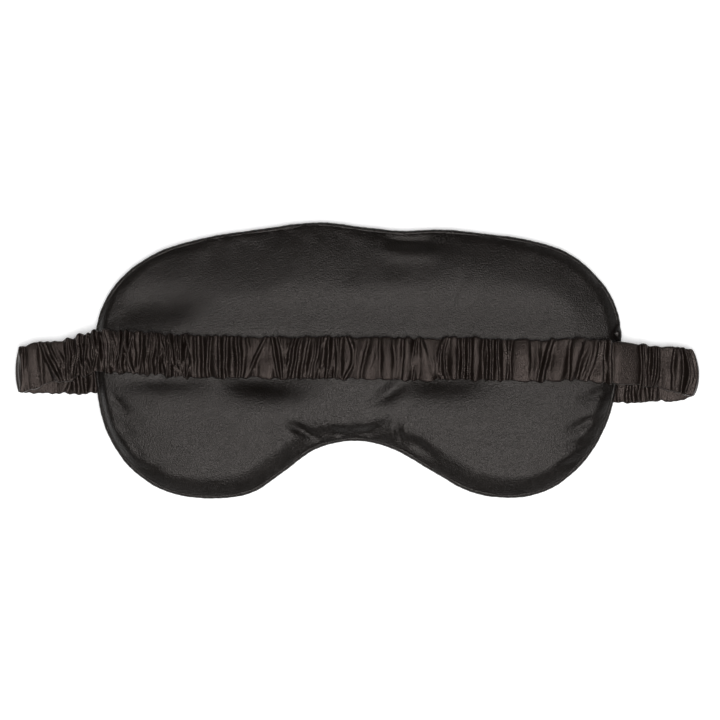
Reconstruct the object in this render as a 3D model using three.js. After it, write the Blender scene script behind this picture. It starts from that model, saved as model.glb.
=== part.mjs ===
// Padded satin sleep eye mask with a ruched strap, in millimetres, +Z up.
// It lies on its outer panel at z = 0, with the side worn against the face
// up. +X is to the right and +Y towards the forehead. The strap leaves the
// side seams, folds back over itself on each side and crosses over the mask.
import * as THREE from 'three';

// ---- driving dimensions ------------------------------------------------

// Edge of the mask from above, anticlockwise from the middle of the right side.
const OUTLINE = [
  [110, 6], [108.6, 20], [102.5, 32], [89, 44.2], [73.7, 49.8], [53.5, 52.9],
  [34, 54.7], [18.5, 54.1], [3, 55.6], [-17, 57.7], [-41, 54.9], [-63.6, 51.4],
  [-84, 45.3], [-99.5, 34.5], [-108, 21], [-110.6, 8], [-109.7, -12],
  [-105.8, -29], [-97, -43.4], [-82, -54.2], [-62, -57.7], [-45, -55.2],
  [-32, -46.8], [-19, -37.4], [-2, -33.4], [14, -36.7], [32, -46.8],
  [46, -54.4], [61, -57.4], [79, -54.4], [95, -41.7], [105, -23.4],
];
const OUTLINE_STEPS = 60;
const SPINE_HALF = 60; // the mask swells towards a spine this far each way
const SPINE_MIDDLE = 11; // Y of the spine over the nose
const SPINE_DROP = 14; // how much lower its two ends lie
const SQUARE_INSET = 8; // insets up to this depth run square to the edge
const RIM = 100; // radius that stands for the edge in a turned profile

const PAD_TOP = 10.5;
const SATIN = 0.5; // panel thickness, seam turnings included
const FLAT_INSET = 22; // from here inwards every layer is level
const SEAM_INSET = 2.8; // panels end here, next to the piping

const PIPING_RADIUS = 1.2;
const PIPING_WALL = 0.3;
const PIPING_Z = 3.9;
const CORD_RADIUS = 0.55;
const FLANGE_INSET = 6.4;

const STRAP_WIDTH = 18.5;
const STRAP_THICK = 3.4;
const COVER_WALL = 0.5;
const ELASTIC_WIDTH = 14;
const ELASTIC_THICK = 1.2;
const END_GAP = 0.3; // from a hinge line to the end of each link
const KNEE_GAP = 0.6; // same, where two links close up on their inner side
const OPEN_PIVOT_GAP = 1.2; // same, at the loose joint in the middle

const SEAM_HINGE_X = 110.9;
const FOLD_HINGE_X = 143.2;
const KNEE_HINGE_X = 71;
const LOWER_Z = 2; // middle height of the strap between mask and table
const FOLDED_Z = 6; // middle height of the layer folded over it
const TOP_Z = 12.6; // middle height of the strap on top of the mask

const TAB_WIDTH = 17;
const TAB_THICK = 0.5;
const TAB_Z = 2.05;
const TAB_INSET = 6;
const TACK_INSET = 5.2;
const EDGE_STEPS = 2000;

// ---- materials ---------------------------------------------------------

const satin = (color) =>
  new THREE.MeshStandardMaterial({ color, roughness: 0.42, metalness: 0 });
const matt = (color) =>
  new THREE.MeshStandardMaterial({ color, roughness: 0.9, metalness: 0 });

const PANEL_COLOR = '#2b2724';
const STRAP_COLOR = '#2f2724';
const THREAD_COLOR = '#26211f';

// ---- edge of the mask --------------------------------------------------

const outline = new THREE.CatmullRomCurve3(
  OUTLINE.map(([x, y]) => new THREE.Vector3(x, y, 0)), true, 'centripetal');
outline.arcLengthDivisions = 600;

// Middle line that insets deeper than SQUARE_INSET run towards.
function spineBelow(point) {
  const x = THREE.MathUtils.clamp(point.x, -SPINE_HALF, SPINE_HALF);
  const y = SPINE_MIDDLE - SPINE_DROP * Math.abs(x) / SPINE_HALF;
  return new THREE.Vector3(x, y, 0);
}

// Point at the fraction u of the way round, inset from the edge.
function insetPoint(u, inset) {
  const edge = outline.getPointAt(u % 1);
  const along = outline.getTangentAt(u % 1);
  const inwards = new THREE.Vector3(-along.y, along.x, 0);
  const point = edge.addScaledVector(inwards, Math.min(inset, SQUARE_INSET));
  if (inset > SQUARE_INSET) {
    const way = spineBelow(point).sub(point).normalize();
    point.addScaledVector(way, inset - SQUARE_INSET);
  }
  return point;
}

// Turns an [inset, z] profile about Z, then bends the circle to the outline.
// The inset 'axis' closes the profile in the middle of the mask.
function ring(profile) {
  const turned = new THREE.LatheGeometry(
    profile.map(([inset, z]) =>
      new THREE.Vector2(inset === 'axis' ? 0 : RIM - inset, z)),
    OUTLINE_STEPS);
  turned.rotateX(Math.PI / 2);
  const place = turned.attributes.position;
  for (let i = 0; i < place.count; i += 1) {
    const radius = Math.hypot(place.getX(i), place.getY(i));
    const turn = Math.atan2(place.getY(i), place.getX(i)) / (2 * Math.PI);
    const step = Math.round(turn * OUTLINE_STEPS + OUTLINE_STEPS) % OUTLINE_STEPS;
    const point = radius < 1
      ? new THREE.Vector3(0, SPINE_MIDDLE, 0)
      : insetPoint(step / OUTLINE_STEPS, RIM - radius);
    place.setXY(i, point.x, point.y);
  }
  turned.deleteAttribute('normal');
  turned.deleteAttribute('uv');
  return turned;
}

// ---- layers of the pad, from the table up ------------------------------

// Flat underneath and turned up to the seam at the edge.
function outerPanel() {
  return ring([
    ['axis', 0], [FLAT_INSET, 0], [SQUARE_INSET, 0], [5, 0.35],
    [SEAM_INSET, 1], [SEAM_INSET, 1 + SATIN], [4.8, 0.35 + SATIN],
    [SQUARE_INSET - 0.2, SATIN], [FLAT_INSET, SATIN], ['axis', SATIN],
  ]);
}

function blackoutLiner() {
  const under = SATIN + 0.3;
  const over = under + 0.35;
  return ring([
    ['axis', under], [FLAT_INSET, under], [SQUARE_INSET, under],
    [SQUARE_INSET, over], [FLAT_INSET, over], ['axis', over],
  ]);
}

// Fills the pad, and stays clear of the turnings of the seam.
function padding() {
  const under = 1.45;
  const over = PAD_TOP - SATIN - 0.3;
  return ring([
    ['axis', under], [FLAT_INSET, under], [9.5, under], [7.2, 2.4],
    [7.2, 6.6], [9, 7.9], [13, over - 0.75], [FLAT_INSET, over], ['axis', over],
  ]);
}

// Domes steeply from the seam, then levels out.
function facePanel() {
  const inside = PAD_TOP - SATIN;
  return ring([
    ['axis', inside], [FLAT_INSET, inside], [12.8, inside - 0.75],
    [8.6, 8.25], [5.4, 6.2], [SEAM_INSET, 4], [SEAM_INSET, 4.6], [4.6, 6.5],
    [8, 8.7], [12.5, PAD_TOP - 0.7], [FLAT_INSET, PAD_TOP], ['axis', PAD_TOP],
  ]);
}

// ---- edge --------------------------------------------------------------

// Points of an arc about the middle of the piping, in degrees from straight
// inwards, over the top.
function pipingArc(radius, from, to, steps) {
  const points = [];
  for (let i = 0; i <= steps; i += 1) {
    const angle = THREE.MathUtils.degToRad(from + (to - from) * i / steps);
    const inset = PIPING_RADIUS + radius * Math.cos(angle);
    points.push([inset, PIPING_Z + radius * Math.sin(angle)]);
  }
  return points;
}

// A roll of fabric that is open towards the pad, with a flange in the seam.
function edgePiping() {
  const section = [
    ...pipingArc(PIPING_RADIUS, 20, 325, 8),
    [FLANGE_INSET, 3.25],
    [FLANGE_INSET, 3.55],
    ...pipingArc(PIPING_RADIUS - PIPING_WALL, 335, 20, 6),
  ];
  return ring([...section, section[0]].reverse());
}

function pipingCord() {
  return ring(pipingArc(CORD_RADIUS, 360, 0, 6));
}

function seamThread() {
  const near = 3.1;
  const far = 3.6;
  const under = 2.65;
  const over = 2.95;
  return ring([[far, under], [near, under], [near, over], [far, over], [far, under]]);
}

// Fraction of the way round where the side edge of the mask passes height y.
function edgeFraction(side, y) {
  let nearest = 0;
  let least = Infinity;
  for (let i = 0; i < EDGE_STEPS; i += 1) {
    const point = outline.getPointAt(i / EDGE_STEPS);
    const miss = Math.abs(point.y - y);
    if (point.x * side > 0 && Math.abs(point.x) > SPINE_HALF && miss < least) {
      least = miss;
      nearest = i / EDGE_STEPS;
    }
  }
  return nearest;
}

// A flat strip across the strap's end, caught between the panels in a side
// seam. placeOuter(y) says where its outer edge runs; the inner one follows
// the seam at innerInset.
function seamStrip(side, width, innerInset, placeOuter, under, over) {
  const strip = new THREE.BoxGeometry(2, width, over - under, 1, 4, 1);
  const place = strip.attributes.position;
  for (let i = 0; i < place.count; i += 1) {
    const y = seamY(side) + place.getY(i);
    const point = place.getX(i) * side > 0
      ? placeOuter(y)
      : insetPoint(edgeFraction(side, y), innerInset);
    place.setXYZ(i, point.x, point.y, place.getZ(i) + (under + over) / 2);
  }
  strip.deleteAttribute('normal');
  strip.deleteAttribute('uv');
  return strip;
}

function strapTab(side) {
  const reach = side * (SEAM_HINGE_X - END_GAP);
  return seamStrip(side, TAB_WIDTH, TAB_INSET, (y) => new THREE.Vector3(reach, y, 0),
    TAB_Z - TAB_THICK / 2, TAB_Z + TAB_THICK / 2);
}

function barTack(side) {
  const outer = (y) => insetPoint(edgeFraction(side, y), TACK_INSET - 0.9);
  return seamStrip(side, TAB_WIDTH - 3, TACK_INSET, outer, 2.65, 2.95);
}

// ---- strap -------------------------------------------------------------

// Middle line of the strap, from above. The two layers part slightly.
const LOWER_PATH = {
  left: [[-SEAM_HINGE_X, -4.4], [-FOLD_HINGE_X, -3.1]],
  right: [[SEAM_HINGE_X, -8.4], [FOLD_HINGE_X, -6.4]],
};
const UPPER_PATH = {
  left: [
    [-FOLD_HINGE_X, FOLDED_Z, -2.9], [-133, FOLDED_Z, -0.7], [-122, 6.6, 0.6],
    [-112, 9, 3.5], [-103, 11.4, 3.9], [-93, 12.5, 3.2],
    [-KNEE_HINGE_X, TOP_Z, 1.9], [-40, TOP_Z, 1.2], [0, TOP_Z, 0.9],
  ],
  right: [
    [FOLD_HINGE_X, FOLDED_Z, -5.7], [133, FOLDED_Z, -3.9], [122, 6.6, -2.2],
    [112, 9, -1.2], [103, 11.4, -0.5], [93, 12.5, 0],
    [KNEE_HINGE_X, TOP_Z, 0.2], [40, TOP_Z, 0.6], [0, TOP_Z, 0.9],
  ],
};

function seamY(side) {
  return LOWER_PATH[side < 0 ? 'left' : 'right'][0][1];
}

function pathCurve(points) {
  return new THREE.CatmullRomCurve3(
    points.map(([x, z, y]) => new THREE.Vector3(x, y, z)), false, 'centripetal');
}

function lowerCurve(side) {
  return pathCurve(LOWER_PATH[side].map(([x, y]) => [x, LOWER_Z, y]));
}

function upperCurve(side) {
  return pathCurve(UPPER_PATH[side]);
}

// Fraction of the curve's length where it reaches the distance x from the
// middle of the mask. The distance along these curves only falls or only rises.
function fractionAt(curve, x) {
  const falls = Math.abs(curve.getPointAt(0).x) > Math.abs(curve.getPointAt(1).x);
  let low = 0;
  let high = 1;
  while (high - low > 1e-6) {
    const half = (low + high) / 2;
    const beyond = Math.abs(curve.getPointAt(half).x) > x;
    if (beyond === falls) {
      low = half;
    } else {
      high = half;
    }
  }
  return low;
}

// Flat oval with straight middle and half-round edges.
function oval(width, thick, Kind) {
  const radius = thick / 2;
  const half = width / 2 - radius;
  const shape = new Kind();
  shape.absarc(half, 0, radius, -Math.PI / 2, Math.PI / 2, false);
  shape.absarc(-half, 0, radius, Math.PI / 2, Math.PI * 1.5, false);
  shape.closePath();
  return shape;
}

// Bends a straight extrusion along the curve, between two distances from the
// middle of the mask. The section's x lies across the strap, its y upwards.
function alongStrap(shape, curve, fromX, toX, steps, arcSteps) {
  const from = fractionAt(curve, fromX);
  const to = fractionAt(curve, toX);
  const band = new THREE.ExtrudeGeometry(shape, {
    depth: 1, steps, bevelEnabled: false, curveSegments: arcSteps,
  });
  const place = band.attributes.position;
  for (let i = 0; i < place.count; i += 1) {
    const fraction = from + (to - from) * place.getZ(i);
    const point = curve.getPointAt(fraction);
    const tangent = curve.getTangentAt(fraction);
    const slope = Math.sign(tangent.x) * Math.atan2(tangent.z, Math.abs(tangent.x));
    const height = place.getY(i);
    place.setXYZ(i, point.x - height * Math.sin(slope),
      point.y + Math.sign(tangent.x) * place.getX(i), point.z + height * Math.cos(slope));
  }
  band.deleteAttribute('normal');
  band.deleteAttribute('uv');
  return band;
}

function coverLink(curve, fromX, toX, steps) {
  const shape = oval(STRAP_WIDTH, STRAP_THICK, THREE.Shape);
  shape.holes.push(oval(
    STRAP_WIDTH - 2 * COVER_WALL, STRAP_THICK - 2 * COVER_WALL, THREE.Path));
  return alongStrap(shape, curve, fromX, toX, steps, 4);
}

function elasticLink(curve, fromX, toX, steps) {
  const shape = new THREE.Shape([
    new THREE.Vector2(-ELASTIC_WIDTH / 2, -ELASTIC_THICK / 2),
    new THREE.Vector2(ELASTIC_WIDTH / 2, -ELASTIC_THICK / 2),
    new THREE.Vector2(ELASTIC_WIDTH / 2, ELASTIC_THICK / 2),
    new THREE.Vector2(-ELASTIC_WIDTH / 2, ELASTIC_THICK / 2),
  ]);
  return alongStrap(shape, curve, fromX, toX, steps, 1);
}

// The three links of one half of the strap: side, outer and inner.
function strapLinks(name) {
  return [
    ['side', lowerCurve(name), SEAM_HINGE_X + END_GAP, FOLD_HINGE_X - END_GAP, 1],
    ['outer', upperCurve(name), FOLD_HINGE_X - END_GAP, KNEE_HINGE_X + KNEE_GAP, 10],
    ['inner', upperCurve(name), KNEE_HINGE_X - KNEE_GAP, OPEN_PIVOT_GAP, 4],
  ];
}

// ---- assembly ----------------------------------------------------------

function piece(name, geometry, material) {
  const mesh = new THREE.Mesh(geometry, material);
  mesh.name = name;
  return mesh;
}

function pad() {
  const group = new THREE.Group();
  group.add(
    piece('outer_panel', outerPanel(), satin(PANEL_COLOR)),
    piece('blackout_liner', blackoutLiner(), matt('#151414')),
    piece('padding', padding(), matt('#d8d4cc')),
    piece('face_panel', facePanel(), satin(PANEL_COLOR)),
    piece('edge_piping', edgePiping(), satin(PANEL_COLOR)),
    piece('piping_cord', pipingCord(), matt('#c9c2b6')),
    piece('seam_thread', seamThread(), matt(THREAD_COLOR)),
  );
  return group;
}

function strapHalf(name) {
  const side = name === 'left' ? -1 : 1;
  const group = new THREE.Group();
  group.add(
    piece(`${name}_strap_tab`, strapTab(side), satin(STRAP_COLOR)),
    piece(`${name}_bar_tack`, barTack(side), matt(THREAD_COLOR)),
  );
  for (const [link, curve, fromX, toX, steps] of strapLinks(name)) {
    group.add(
      piece(`${name}_${link}_cover`, coverLink(curve, fromX, toX, steps),
        satin(STRAP_COLOR)),
      piece(`${name}_${link}_elastic`, elasticLink(curve, fromX, toX, steps),
        matt('#1d1b1a')),
    );
  }
  return group;
}

const mask = new THREE.Group();
mask.add(pad(), strapHalf('left'), strapHalf('right'));

export default mask;
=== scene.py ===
import math

import bpy
import numpy as np
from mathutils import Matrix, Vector
from mathutils.geometry import delaunay_2d_cdt


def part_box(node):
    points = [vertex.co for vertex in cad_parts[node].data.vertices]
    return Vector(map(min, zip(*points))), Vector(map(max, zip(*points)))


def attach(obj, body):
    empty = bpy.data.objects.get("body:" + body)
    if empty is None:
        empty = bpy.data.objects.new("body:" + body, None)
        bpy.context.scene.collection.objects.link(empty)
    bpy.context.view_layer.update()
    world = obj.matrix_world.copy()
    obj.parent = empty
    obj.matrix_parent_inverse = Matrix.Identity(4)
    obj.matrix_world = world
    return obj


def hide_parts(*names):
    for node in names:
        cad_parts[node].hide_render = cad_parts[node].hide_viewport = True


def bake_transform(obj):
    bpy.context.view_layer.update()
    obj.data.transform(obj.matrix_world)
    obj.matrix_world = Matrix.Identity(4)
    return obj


# A satin sleep eye mask with a ruched strap, built around the CAD frame.
# Shapes are worked out in millimetres in the frame's axes, and turned into
# metres when a mesh is made.

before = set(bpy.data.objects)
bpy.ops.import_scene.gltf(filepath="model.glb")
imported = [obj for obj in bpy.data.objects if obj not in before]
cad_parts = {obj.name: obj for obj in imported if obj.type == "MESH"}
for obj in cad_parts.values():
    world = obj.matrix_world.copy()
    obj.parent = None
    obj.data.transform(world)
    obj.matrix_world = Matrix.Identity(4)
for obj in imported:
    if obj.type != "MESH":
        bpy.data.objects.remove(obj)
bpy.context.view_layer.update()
MM = 0.001
MM_PER_UV = 10  # the UV maps are in centimetres of cloth

# ---- places taken from the frame -----------------------------------------

SPINE_Y = 11.0  # the mask's outline is star-shaped about (0, SPINE_Y)
RIM_INSET = 2.8  # the solids' panels end this far inside the outline
CLOTH_OUT = 0.4  # the piping's cloth stands this far outside the solid piping
PIPING_RADIUS = 1.2
PIPING_Z = 3.9
PAD_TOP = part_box("face_panel")[1].z / MM
SEAM_X = 110.9
STRAP_HALF_WIDTH = 9.0
UNDER_STRAP = 1.75  # from the strap's middle line down to its underside

# ---- small helpers ---------------------------------------------------------


def smoothstep(low, high, x):
    """0 below low, 1 above high, and a smooth step in between."""
    t = np.clip((x - low) / (high - low), 0.0, 1.0)
    return t * t * (3 - 2 * t)


RIPPLE_WAVES = 9


def ripples(x, y, size, seed):
    """Smooth noise of about -1 to 1, with waves about size long."""
    rng = np.random.default_rng(seed)
    total = np.zeros(np.broadcast(x, y).shape)
    for _ in range(RIPPLE_WAVES):
        angle = rng.uniform(0, math.pi)
        length = size * rng.uniform(0.7, 1.6)
        phase = rng.uniform(0, 2 * math.pi)
        across = x * math.cos(angle) + y * math.sin(angle)
        total += np.sin(2 * math.pi * across / length + phase)
    return total / math.sqrt(RIPPLE_WAVES) / 1.4


def make_mesh(name, points, faces, uvs):
    """A smooth-shaded object from points in mm, with uvs one per point."""
    mesh = bpy.data.meshes.new(name)
    mesh.from_pydata((np.asarray(points) * MM).tolist(), [], faces)
    mesh.update()
    mesh.shade_smooth()
    layer = mesh.uv_layers.new(name="UVMap")
    corner = np.empty(len(mesh.loops), dtype=np.int32)
    mesh.loops.foreach_get("vertex_index", corner)
    layer.data.foreach_set("uv", np.asarray(uvs, np.float32)[corner].ravel())
    obj = bpy.data.objects.new(name, mesh)
    bpy.context.scene.collection.objects.link(obj)
    return obj


def periodic_spline(points, count):
    """count points evenly along the smooth closed curve through points."""
    n = len(points)
    system = np.eye(n) * 4 + np.roll(np.eye(n), 1, 0) + np.roll(np.eye(n), -1, 0)
    ahead, behind = np.roll(points, -1, 0), np.roll(points, 1, 0)
    bend = np.linalg.solve(system, 6 * (ahead - 2 * points + behind))
    at = np.arange(count) * n / count
    i = np.floor(at).astype(int)
    t = (at - i)[:, None]
    j = (i + 1) % n
    return (
        (1 - t) * points[i]
        + t * points[j]
        + ((1 - t) ** 3 - (1 - t)) * bend[i] / 6
        + (t**3 - t) * bend[j] / 6
    )


SMOOTH_SPAN = 61  # samples that a table's curve is smoothed over


def smoothing_window():
    """Weights that add up to 1, for smoothing a table's curve."""
    window = np.hanning(SMOOTH_SPAN)
    return window / window.sum()


# ---- outline of the mask ---------------------------------------------------


def rim_of_solids():
    """The corners of the outer panel's rim in the frame, anticlockwise."""
    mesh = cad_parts["outer_panel"].data
    points = np.array([v.co for v in mesh.vertices]) / MM
    top = points[points[:, 2] > points[:, 2].max() - 0.02][:, :2]
    top = np.unique(np.round(top, 3), axis=0)
    return top[np.argsort(np.arctan2(top[:, 1] - SPINE_Y, top[:, 0]))]


OUTLINE_COUNT = 960


def outline_curve():
    """(points on the outline, inward normals), evenly spaced."""
    rim = periodic_spline(rim_of_solids(), OUTLINE_COUNT)
    along = np.roll(rim, -1, 0) - np.roll(rim, 1, 0)
    along /= np.linalg.norm(along, axis=1)[:, None]
    inward = np.stack([-along[:, 1], along[:, 0]], axis=1)
    return rim - inward * (RIM_INSET + CLOTH_OUT), inward


OUTLINE, INWARD = outline_curve()
OUTLINE_LENGTH = np.linalg.norm(OUTLINE - np.roll(OUTLINE, 1, 0), axis=1).sum()


INSET_PARTS = 16  # keeps each table of distances small


def inset_of(points):
    """(distance in from the outline, index of the nearest outline point)."""
    nearest, least = [], []
    for part in np.array_split(points, INSET_PARTS):
        gap = np.linalg.norm(part[:, None, :] - OUTLINE[None, :, :], axis=2)
        nearest.append(gap.argmin(axis=1))
        least.append(gap.min(axis=1))
    return np.concatenate(least), np.concatenate(nearest)


# ---- pad -------------------------------------------------------------------

PAD_RIM_INSET = 0.8  # the two panels meet here, round the inner side of the piping
PAD_RIM_Z = 3.9
WALL_INSET = 1.15  # beyond this the panels cover the piping
WALL_HEIGHT = 1.05
PAD_PUFF = 0.2  # the wadding stands this far above the strap's place
PAD_GRAIN = 1.15  # spacing of the pad's points
PAD_ROW_SHARE = 0.87  # spacing of their rows, as a share of that
PAD_RIM_POINTS = 480
UNDER_UV_SHIFT = 300  # so that the under side doesn't repeat the weave of the face

# The worn side climbs from the seam in two parts: a roll at the edge, and a
# gentle rise further in. Each table gives a measure by the direction from the
# middle of the mask, in degrees.
ROLL_HEIGHT_BY_ANGLE = [
    (-180, 3.0), (-160, 3.0), (-135, 3.4), (-90, 3.2), (-50, 3.4), (-20, 3.0),
    (5, 2.0), (30, 0.8), (60, 0.4), (150, 0.4), (168, 0.9), (180, 3.0),
]
ROLL_REACH_BY_ANGLE = [
    (-180, 2.6), (-160, 3.0), (-135, 8.0), (-118, 9.0), (-104, 7.0), (-90, 6.0), (-76, 7.0),
    (-62, 9.0), (-45, 8.0), (-20, 5.6), (5, 4.6), (30, 3.4), (60, 3.0), (150, 3.0), (168, 3.0),
    (180, 2.6),
]
ROLL_POWER = 1.35
RISE_BY_ANGLE = [
    (-180, 26), (-90, 26), (-20, 26), (0, 24),
    (25, 24), (60, 28), (125, 34), (155, 34), (172, 30), (180, 26),
]
# 0 where the gentle rise starts at once, 1 where it starts a little way in
LATE_BY_ANGLE = [(-180, 0), (-10, 0), (25, 0.6), (50, 1), (150, 1), (175, 0.2), (180, 0)]


def round_outline(table):
    """A table by angle as one value per outline point, smoothed along the edge."""
    angle = np.degrees(np.arctan2(OUTLINE[:, 1] - SPINE_Y, OUTLINE[:, 0]))
    table = np.array(table, float)
    value = np.interp(angle, table[:, 0], table[:, 1])
    thrice = np.convolve(np.tile(value, 3), smoothing_window(), "same")
    return thrice[OUTLINE_COUNT : 2 * OUTLINE_COUNT]


# Creases in the worn side: the line's points, depth (ridges are negative) and
# half-width, all in mm.
CREASES = [
    # either side of the nose bridge, below the strap
    ([(-50, -6.4), (-36, -6.6), (-22, -10)], 4.2, 7.6),
    ([(-56, -8), (-50, -8.5), (-42, -9)], 1.0, 5.0),
    ([(-98, -7.4), (-84, -7.6), (-66, -7.4)], 2.2, 5.0),
    ([(8, -16.5), (13, -14), (18, -9)], 1.6, 3.2),
    ([(19, -6.8), (32, -7.4), (52, -6.4)], 3.2, 6.6),
    # pulled into the nose arch
    ([(-28.5, -27.0), (-23, -29.8), (-17, -32.8)], 1.9, 2.0),
    ([(-15, -28.6), (-10.5, -30.2), (-5, -31.6)], 1.5, 2.3),
    ([(-2.0, -31.8), (5, -30.0), (13, -26.2)], 1.6, 2.4),
    ([(15.4, -28.0), (17.0, -31), (18.0, -34)], 1.1, 1.6),
    ([(21, -33.0), (25.5, -35.2), (31, -39.6)], 1.2, 2.4),
    ([(-19, -24.6), (-15, -27.4), (-11.5, -31)], -0.6, 1.2),
    ([(-5.0, -26.5), (-4.0, -29.5), (-3.3, -33)], -0.5, 0.9),
    ([(13.8, -24.5), (14.4, -28), (14.6, -32)], -0.5, 1.0),
    ([(19.4, -26), (19.8, -30), (19.6, -35)], -0.7, 1.1),
    ([(-38, -27), (-33, -30), (-28, -35)], 0.5, 2.4),
    # a hollow above the strap at the left
    ([(-104, 21), (-88, 24.5), (-70, 24)], 2.1, 8.0),
    # a soft upright crease right of the middle, and the tuck in the top edge
    ([(43, 34), (40, 25), (36, 17)], 0.45, 1.6),
    ([(46, 33), (43, 24), (40, 17)], -0.30, 2.2),
    ([(14, 51.5), (21, 49.5), (29, 50)], 1.2, 2.4),
    ([(8, 47), (19, 43.5), (32, 45)], -0.7, 3.2),
    # lower sides, where the edge is drawn up
    ([(-104, -14), (-101, -18), (-97, -21)], 0.8, 1.6),
    ([(-101, -27), (-98, -28.4), (-95, -30)], 0.3, 1.6),
    ([(-95, -35), (-93, -38), (-91, -41)], 0.3, 1.7),
    ([(98, -24), (94, -27), (89, -29)], 0.9, 1.8),
    ([(97, -33), (93, -35), (88, -36)], 0.7, 1.7),
    ([(92, -43), (88, -44), (84, -44)], 0.6, 1.6),
    ([(103, -20), (99, -22), (93, -24)], -0.4, 1.8),
    ([(103, -12), (99, -15), (94, -16)], 0.7, 1.8),
    ([(-92, -45), (-88, -45), (-83, -46)], 0.5, 1.8),
]


CREASE_STEPS = 25
CREASE_START, CREASE_SPAN = 0.12, 0.76  # part of a half wave that the depth follows


def crease(x, y, line, depth, width):
    """Depth of one crease: a soft groove along a bowed line, faded at its ends."""
    (ax, ay), (bx, by), (cx, cy) = line
    total = np.zeros_like(x)
    for t in np.linspace(0, 1, CREASE_STEPS):
        px = (1 - t) ** 2 * ax + 2 * t * (1 - t) * bx + t * t * cx
        py = (1 - t) ** 2 * ay + 2 * t * (1 - t) * by + t * t * cy
        near = np.exp(-((x - px) ** 2 + (y - py) ** 2) / width**2)
        share = math.sin(math.pi * (CREASE_START + CREASE_SPAN * t))
        total = np.maximum(total, near * share)
    return depth * total


def soft_minimum(a, b, soft):
    """The smaller of two heights, rounded where they meet."""
    share = np.clip(0.5 + 0.5 * (b - a) / soft, 0, 1)
    return b * (1 - share) + a * share - soft * share * (1 - share)


# How far the wadding swells up beside the strap's -Y edge, by X.
SWELL = [(-110, 0.3), (-96, 1.0), (-70, 0.9), (-60, 0.7), (-52, 1.6), (-24, 1.6), (-15, 0.3),
         (9, 0.2), (14, 1.4), (42, 1.6), (54, 0.6), (100, 0.3)]


SWELL_START = 1.5  # this far in under the strap's -Y edge
SWELL_REACH = 3.2
FALL_START = 0.5  # this far in under its +Y edge
FALL_REACH = 7
FALL_DEPTH = 0.55


def strap_underside(x, y):
    """Height of the strap's underside over the pad, and how the pad leaves it.

    On the +Y side the pad falls away gently; on the -Y side it swells up."""
    place = np.clip(x, -BEND_X, BEND_X)
    _, middle, z, _ = strap_path(place)
    below = np.maximum(middle - y - STRAP_HALF_WIDTH + SWELL_START, 0)
    above = np.maximum(y - middle - STRAP_HALF_WIDTH + FALL_START, 0)
    table = np.array(SWELL, float)
    swell = np.interp(x, table[:, 0], table[:, 1])
    z = z - UNDER_STRAP + swell * (1 - np.exp(-below / SWELL_REACH)) + 0.03 * below
    fall = FALL_DEPTH * (1 - np.exp(-((above / FALL_REACH) ** 2)))
    return z - fall + 0.04 * np.maximum(above - 14, 0)


RISE_POWER = 1.6
LATE_POWER = 0.7
# small puckers run round the mask a little way in from the seam
PUCKER_HEIGHT = 0.22
PUCKER_INSET = 5
PUCKER_WIDTH = 3.0
PUCKER_LENGTH = 9
STRAP_BLEND = 0.6  # how softly the pad's surface turns into the strap's bed


def face_height(x, y, near, inset):
    """Height of the worn side over the table."""
    from_wall = np.maximum(inset - WALL_INSET, 0)
    wall = WALL_HEIGHT * smoothstep(PAD_RIM_INSET, WALL_INSET, inset)
    roll_height = round_outline(ROLL_HEIGHT_BY_ANGLE)[near]
    roll_reach = round_outline(ROLL_REACH_BY_ANGLE)[near]
    roll = roll_height * (1 - np.clip(1 - from_wall / roll_reach, 0, 1) ** ROLL_POWER)
    part = np.clip(from_wall / round_outline(RISE_BY_ANGLE)[near], 0, 1)
    late = round_outline(LATE_BY_ANGLE)[near]
    climb = (1 - late) * (1 - (1 - part) ** RISE_POWER)
    climb = climb + late * smoothstep(0, 1, part**LATE_POWER)
    height = PAD_TOP + PAD_PUFF - PAD_RIM_Z - WALL_HEIGHT
    z = PAD_RIM_Z + wall + roll + (height - roll_height) * climb
    for line, depth, width in CREASES:
        z -= crease(x, y, line, depth, width) * smoothstep(1.3, 3.6, inset)
    inner = smoothstep(1.6, 6, inset)
    z += inner * (0.30 * ripples(x, y, 38, 3) + 0.10 * ripples(x, y, 15, 4))
    round_edge = near * (OUTLINE_LENGTH / OUTLINE_COUNT)
    pucker = np.exp(-(((inset - PUCKER_INSET) / PUCKER_WIDTH) ** 2))
    z += PUCKER_HEIGHT * pucker * ripples(round_edge, 0.15 * inset, PUCKER_LENGTH, 5)
    return soft_minimum(z, strap_underside(x, y), STRAP_BLEND)


UNDER_WALL_HEIGHT = 0.75
UNDER_CURL_REACH = 9
UNDER_CURL_POWER = 1.8
UNDER_CRINKLE = 0.12


def under_height(x, y, inset):
    """Height of the outer side, which lies flat on the table but for its edge."""
    wall = UNDER_WALL_HEIGHT * smoothstep(PAD_RIM_INSET, WALL_INSET, inset)
    curl = np.clip(1 - (inset - WALL_INSET) / UNDER_CURL_REACH, 0, 1) ** UNDER_CURL_POWER
    z = (PAD_RIM_Z - wall) * curl
    crinkle = np.clip(ripples(x, y, 26, 6) + 0.3 * ripples(x, y, 9, 7), 0, 2)
    return z + UNDER_CRINKLE * crinkle * smoothstep(6, 14, inset)


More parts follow.
